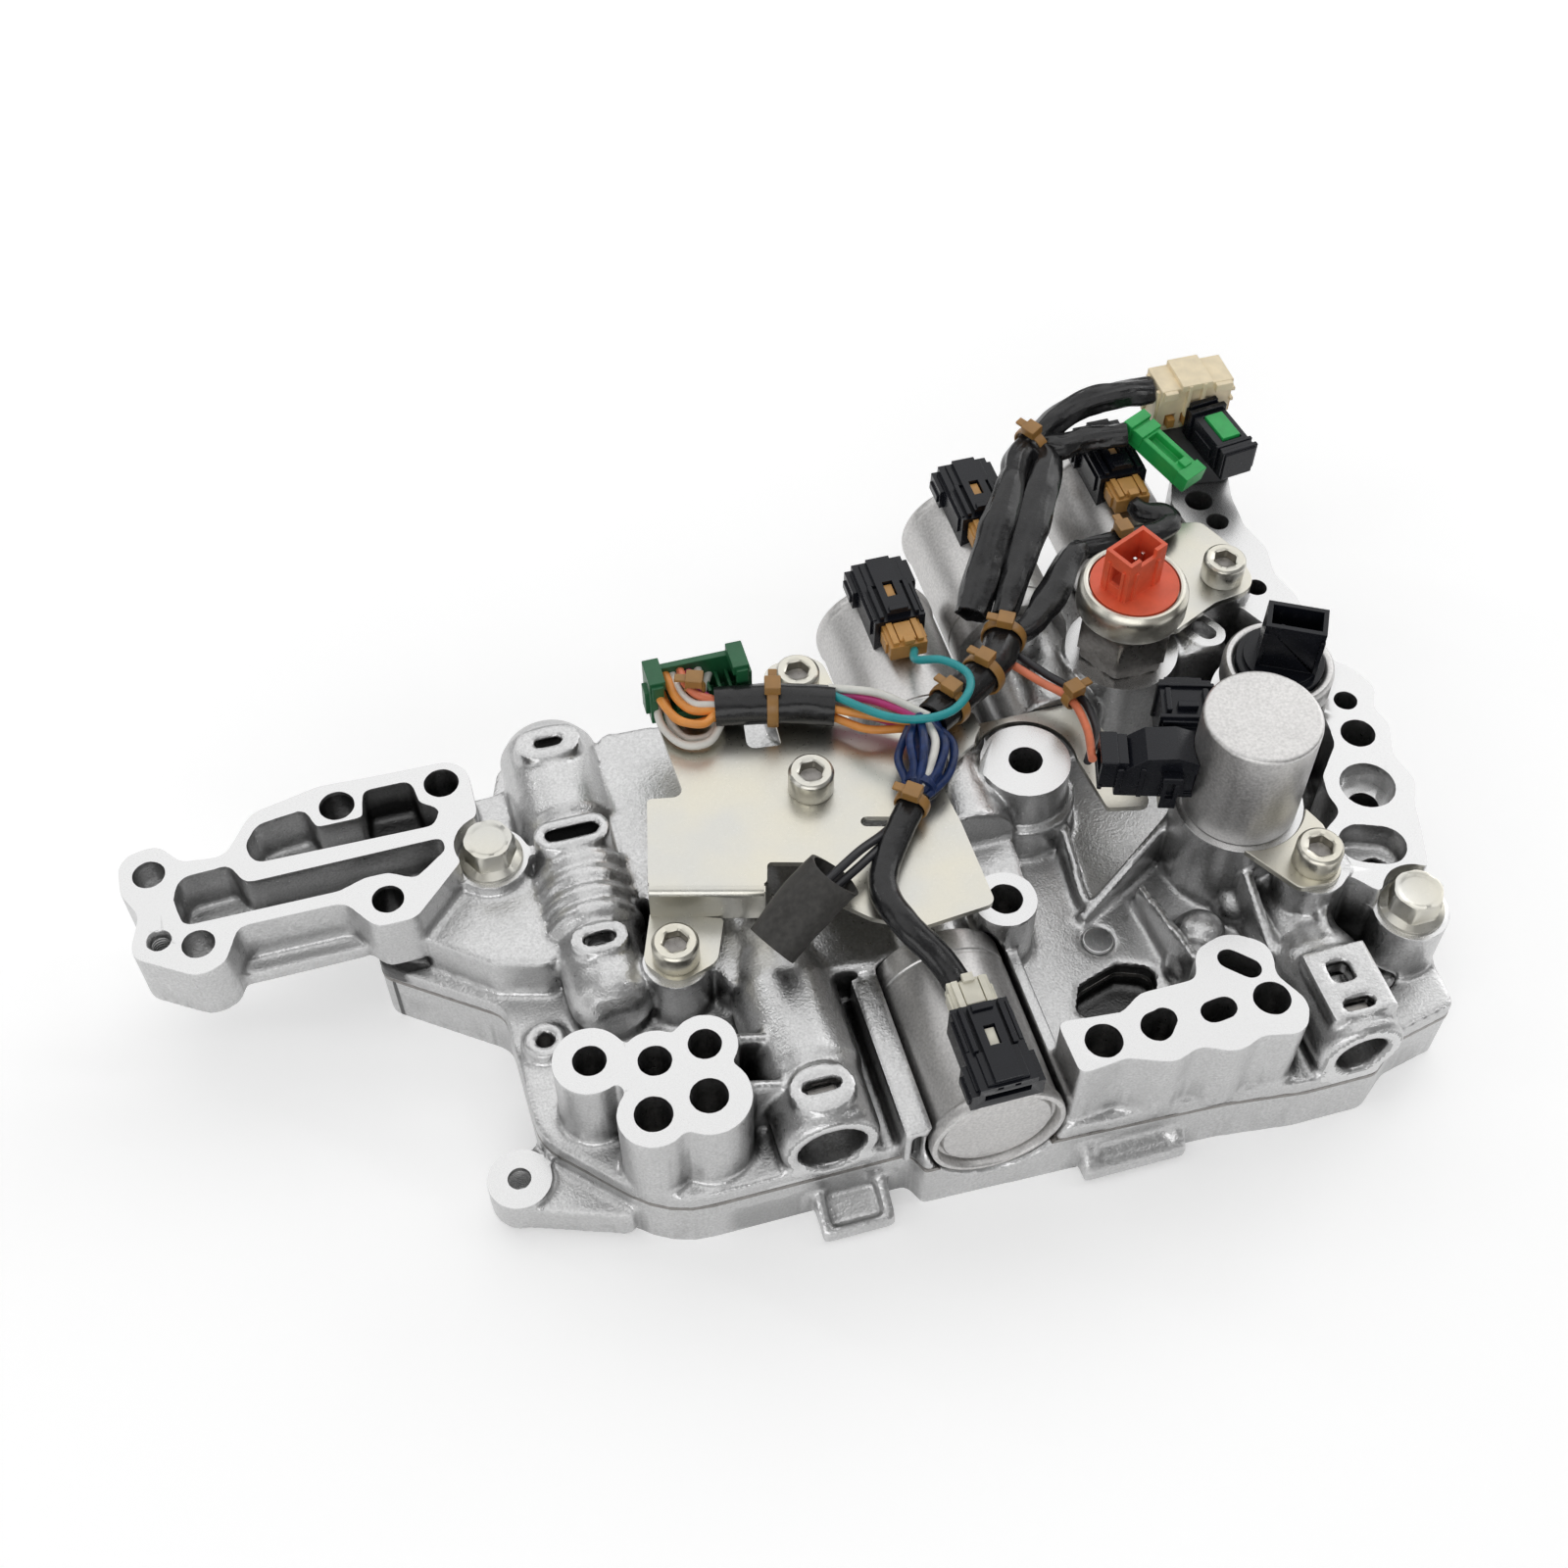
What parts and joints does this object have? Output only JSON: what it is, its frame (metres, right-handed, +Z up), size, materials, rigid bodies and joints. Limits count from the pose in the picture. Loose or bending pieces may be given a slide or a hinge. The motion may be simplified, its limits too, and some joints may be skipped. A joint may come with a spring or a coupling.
{
  "type": "transmission valve body",
  "caption": "Cast valve body of an automatic transmission with a port arm, spool valve ridges, solenoids, pressure sensors and a wiring harness held on a bracket.",
  "frame": {"origin": "on the lower casting's bottom face, between the centre valve ridge and the bracket screw", "axes": "+X along the length away from the port arm, +Y along the valve bores towards the rear solenoids, +Z up out of the machined mating faces"},
  "size_m": [0.2807, 0.178, 0.073],
  "materials": {
    "cast_aluminium": "grainy die cast with machined mating faces",
    "plate_steel": "rolled",
    "bright_steel": "ground",
    "spring_steel": "drawn wire",
    "turned_aluminium": "turned",
    "can_steel": "satin drawn",
    "zinc_steel": "zinc plated",
    "black_plastic": "moulded",
    "seal_rubber": "moulded",
    "orange_plastic": "moulded",
    "dark_green_plastic": "moulded",
    "green_plastic": "moulded",
    "cream_plastic": "moulded",
    "tan_plastic": "moulded",
    "grey_plastic": "moulded",
    "sleeve_rubber": "smooth tube",
    "open_sleeve_rubber": "smooth tube",
    "navy_tape": "wound tape",
    "orange_wire": "insulation",
    "white_wire": "insulation",
    "pink_wire": "insulation",
    "teal_wire": "insulation",
    "salmon_wire": "insulation",
    "black_wire": "insulation"
  },
  "bodies": {
    "housing": {"upper_body": "cast_aluminium", "lower_body": "cast_aluminium", "separator_plate": "plate_steel", "dowel_pins": "bright_steel", "left_spring": "spring_steel", "left_plug": "turned_aluminium", "centre_spring": "spring_steel", "centre_plug": "turned_aluminium", "right_spring": "spring_steel", "right_plug": "turned_aluminium", "retainer_keys": "zinc_steel", "front_can": "can_steel", "front_connector": "black_plastic", "rear_left_can": "can_steel", "rear_left_connector": "black_plastic", "rear_middle_can": "can_steel", "rear_middle_connector": "black_plastic", "rear_right_can": "can_steel", "rear_right_connector": "black_plastic", "solenoid_noses": "turned_aluminium", "nose_seals": "seal_rubber", "standing_can": "can_steel", "standing_connector": "black_plastic", "standing_nose": "turned_aluminium", "orange_sensor_body": "zinc_steel", "orange_sensor_socket": "orange_plastic", "black_sensor_body": "can_steel", "black_sensor_socket": "black_plastic", "harness_bracket": "zinc_steel", "sensor_retainer": "zinc_steel", "standing_retainer": "zinc_steel", "connector_housing": "grey_plastic", "cap_screws": "zinc_steel", "flange_bolts": "zinc_steel", "oil_plug": "bright_steel", "green_comb": "dark_green_plastic", "green_plug": "green_plastic", "cream_connector": "cream_plastic", "lock_connector": "black_plastic", "lock_slider": "green_plastic", "front_plug": "cream_plastic", "rear_plugs": "tan_plastic", "large_sleeves": "sleeve_rubber", "slim_sleeves": "sleeve_rubber", "open_sleeve": "open_sleeve_rubber", "taped_bundle": "navy_tape", "orange_wires": "orange_wire", "white_wires": "white_wire", "pink_wires": "pink_wire", "teal_wires": "teal_wire", "salmon_wire": "salmon_wire", "black_wire": "black_wire", "cable_ties": "tan_plastic"},
    "left_valve": {"left_spool": "bright_steel"},
    "centre_valve": {"centre_spool": "bright_steel"},
    "right_valve": {"right_spool": "bright_steel"}
  },
  "joints": [
    {"name": "left_valve_slide", "type": "slide", "parent": "housing", "child": "left_valve", "axis": [0, 1, 0], "range_m": [0, 0.005], "stiffness_N_per_m": 450, "deforming": ["left_spring"]},
    {"name": "centre_valve_slide", "type": "slide", "parent": "housing", "child": "centre_valve", "axis": [0, -1, 0], "range_m": [0, 0.005], "stiffness_N_per_m": 450, "deforming": ["centre_spring"]},
    {"name": "right_valve_slide", "type": "slide", "parent": "housing", "child": "right_valve", "axis": [0, -1, 0], "range_m": [0, 0.005], "stiffness_N_per_m": 450, "deforming": ["right_spring"]}
  ]
}
